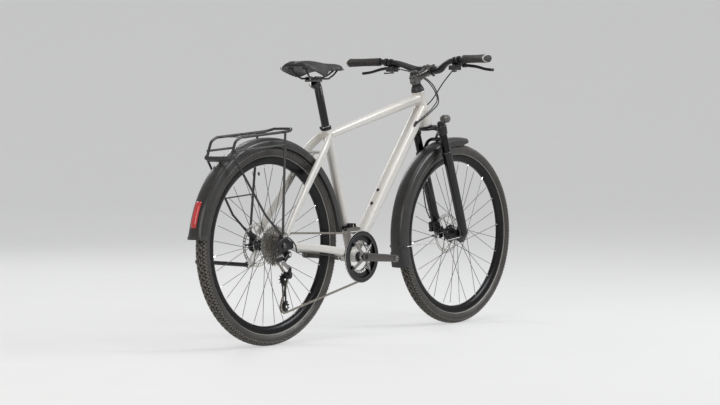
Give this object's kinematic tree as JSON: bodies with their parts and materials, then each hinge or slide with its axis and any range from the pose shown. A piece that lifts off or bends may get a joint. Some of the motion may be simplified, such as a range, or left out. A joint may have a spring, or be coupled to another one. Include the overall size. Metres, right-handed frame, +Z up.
{
  "type": "hybrid bike",
  "caption": "Hybrid trekking bicycle with a diamond frame, suspension fork, disc brakes, mudguards, rear rack, lamps and a folding side stand.",
  "frame": {"origin": "on the ground, under the middle of the bicycle's bounding box", "axes": "+X forward, +Y to the rider's left, +Z up"},
  "size_m": [1.867, 0.702, 1.0667],
  "materials": {
    "black": "satin black",
    "cover": "matt, grained",
    "guard": "matt, slightly glossy",
    "pearl": "satin pearl paint",
    "plastic": "matt",
    "red": "clear red lens",
    "rubber": "matt",
    "satin": "black anodised",
    "silver": "polished",
    "steel": "brushed",
    "tyre": "matt, knobbly"
  },
  "bodies": {
    "frame": {"head_tube": "pearl", "top_tube": "pearl", "down_tube": "pearl", "seat_tube": "pearl", "bottom_bracket_shell": "pearl", "seatstay_right": "pearl", "seatstay_left": "pearl", "chainstay_right": "pearl", "chainstay_left": "pearl", "stay_bridge": "satin", "seat_clamp": "satin", "rear_mudguard": "guard", "tail_light": "red", "rack_deck": "satin", "rack_side_right": "satin", "rack_side_left": "satin", "rear_brake_caliper": "satin", "front_derailleur_body": "satin", "rear_derailleur_base": "satin", "derailleur_housing": "rubber", "rear_brake_hose": "rubber", "chain": "steel"},
    "steering_assembly": {"fork_crown": "black", "stem": "satin", "handlebar": "satin", "grip_right": "rubber", "grip_left": "rubber", "bar_controls_right": "satin", "bar_controls_left": "satin", "front_brake_hose": "rubber"},
    "fork_lower_assembly": {"fork_lowers": "black", "front_brake_caliper": "satin", "front_mudguard": "guard", "front_lamp": "plastic"},
    "front_wheel": {"tyre_front": "tyre", "rim_front": "black", "hub_and_spokes_front": "steel", "rotor_front": "steel"},
    "rear_wheel": {"tyre_rear": "tyre", "rim_rear": "black", "hub_and_spokes_rear": "steel", "rotor_rear": "steel"},
    "crankset": {"crank_arm_right": "black", "crank_arm_left": "black", "chainrings": "satin"},
    "cassette_body": {"cassette": "steel"},
    "derailleur_cage": {"rear_derailleur_cage": "satin"},
    "derailleur_link": {"rear_derailleur_link": "silver"},
    "guide_pulley_body": {"guide_pulley": "plastic"},
    "tension_pulley_body": {"tension_pulley": "plastic"},
    "front_cage": {"front_derailleur_cage": "steel"},
    "right_brake_lever": {"brake_lever_right": "silver"},
    "left_brake_lever": {"brake_lever_left": "silver"},
    "right_shift_lever": {"shift_lever_right": "plastic"},
    "left_shift_lever": {"shift_lever_left": "plastic"},
    "lockout": {"lockout_knob": "satin"},
    "saddle_assembly": {"seatpost": "black", "saddle_shell": "black", "saddle_pad": "cover"},
    "stand": {"kickstand_leg": "black"}
  },
  "joints": [
    {"name": "steering", "type": "hinge", "parent": "frame", "child": "steering_assembly", "pos_m": [0.32646, 0, 0.9304], "axis": [-0.3322, 0, 0.9432], "range_deg": [-65, 65], "deforming": ["rear_brake_hose"]},
    {"name": "fork_travel", "type": "slide", "parent": "steering_assembly", "child": "fork_lower_assembly", "axis": [-0.3322, 0, 0.9432], "range_m": [0, 0.063], "stiffness_N_per_m": 14000, "springref_m": -0.03, "deforming": ["front_brake_hose"]},
    {"name": "front_wheel_spin", "type": "hinge", "parent": "fork_lower_assembly", "child": "front_wheel", "pos_m": [0.57126, 0, 0.361], "axis": [0, 1, 0], "continuous": true},
    {"name": "rear_wheel_spin", "type": "hinge", "parent": "frame", "child": "rear_wheel", "pos_m": [-0.54674, 0, 0.361], "axis": [0, 1, 0], "continuous": true},
    {"name": "crank_spin", "type": "hinge", "parent": "frame", "child": "crankset", "pos_m": [-0.08374, 0, 0.3], "axis": [0, 1, 0], "continuous": true},
    {"name": "cassette_spin", "type": "hinge", "parent": "frame", "child": "cassette_body", "pos_m": [-0.54674, 0, 0.361], "axis": [0, 1, 0], "continuous": true},
    {"name": "derailleur_shift", "type": "slide", "parent": "frame", "child": "derailleur_cage", "axis": [0, 1, 0], "range_m": [-0.016, 0.014], "deforming": ["chain", "derailleur_housing"]},
    {"name": "derailleur_link_swing", "type": "hinge", "parent": "frame", "child": "derailleur_link", "pos_m": [-0.56274, -0.0856, 0.302], "axis": [0.5914, 0, 0.8064], "range_deg": [-24.64, 21.56]},
    {"name": "guide_pulley_spin", "type": "hinge", "parent": "derailleur_cage", "child": "guide_pulley_body", "pos_m": [-0.51674, 0, 0.24], "axis": [0, 1, 0], "continuous": true},
    {"name": "tension_pulley_spin", "type": "hinge", "parent": "derailleur_cage", "child": "tension_pulley_body", "pos_m": [-0.50964, 0, 0.14025], "axis": [0, 1, 0], "continuous": true},
    {"name": "front_derailleur_shift", "type": "hinge", "parent": "frame", "child": "front_cage", "pos_m": [-0.10314, -0.0345, 0.424], "axis": [1, 0, 0], "range_deg": [-3, 6]},
    {"name": "right_brake", "type": "hinge", "parent": "steering_assembly", "child": "right_brake_lever", "pos_m": [0.38585, -0.178, 1.03049], "axis": [-0.4711, 0, -0.8821], "range_deg": [0, 14], "stiffness_Nm_per_rad": 2, "springref_deg": -6.88},
    {"name": "right_shift", "type": "hinge", "parent": "steering_assembly", "child": "right_shift_lever", "pos_m": [0.35776, -0.156, 1.0073], "axis": [0, 0, -1], "range_deg": [0, 25], "stiffness_Nm_per_rad": 0.5, "springref_deg": -11.46},
    {"name": "left_brake", "type": "hinge", "parent": "steering_assembly", "child": "left_brake_lever", "pos_m": [0.38585, 0.178, 1.03049], "axis": [0.4711, 0, 0.8821], "range_deg": [0, 14], "stiffness_Nm_per_rad": 2, "springref_deg": -6.88},
    {"name": "left_shift", "type": "hinge", "parent": "steering_assembly", "child": "left_shift_lever", "pos_m": [0.35776, 0.156, 1.0073], "axis": [0, 0, 1], "range_deg": [0, 25], "stiffness_Nm_per_rad": 0.5, "springref_deg": -11.46},
    {"name": "fork_lockout", "type": "hinge", "parent": "steering_assembly", "child": "lockout", "pos_m": [0.39123, -0.065, 0.79768], "axis": [-0.3322, 0, 0.9432], "range_deg": [0, 90]},
    {"name": "seat_height", "type": "slide", "parent": "frame", "child": "saddle_assembly", "axis": [-0.289, 0, 0.9573], "range_m": [-0.1, 0.05]},
    {"name": "stand_swing", "type": "hinge", "parent": "frame", "child": "stand", "pos_m": [-0.56934, 0.0809, 0.288], "axis": [0.0481, -0.9408, -0.3354], "range_deg": [0, 90.98]}
  ],
  "couplings": [
    {"joint": "cassette_spin", "follows": "crank_spin", "ratio": 2},
    {"joint": "guide_pulley_spin", "follows": "crank_spin", "ratio": -4},
    {"joint": "tension_pulley_spin", "follows": "crank_spin", "ratio": 4},
    {"joint": "derailleur_link_swing", "follows": "derailleur_shift", "rad_per_m": 26.88}
  ]
}
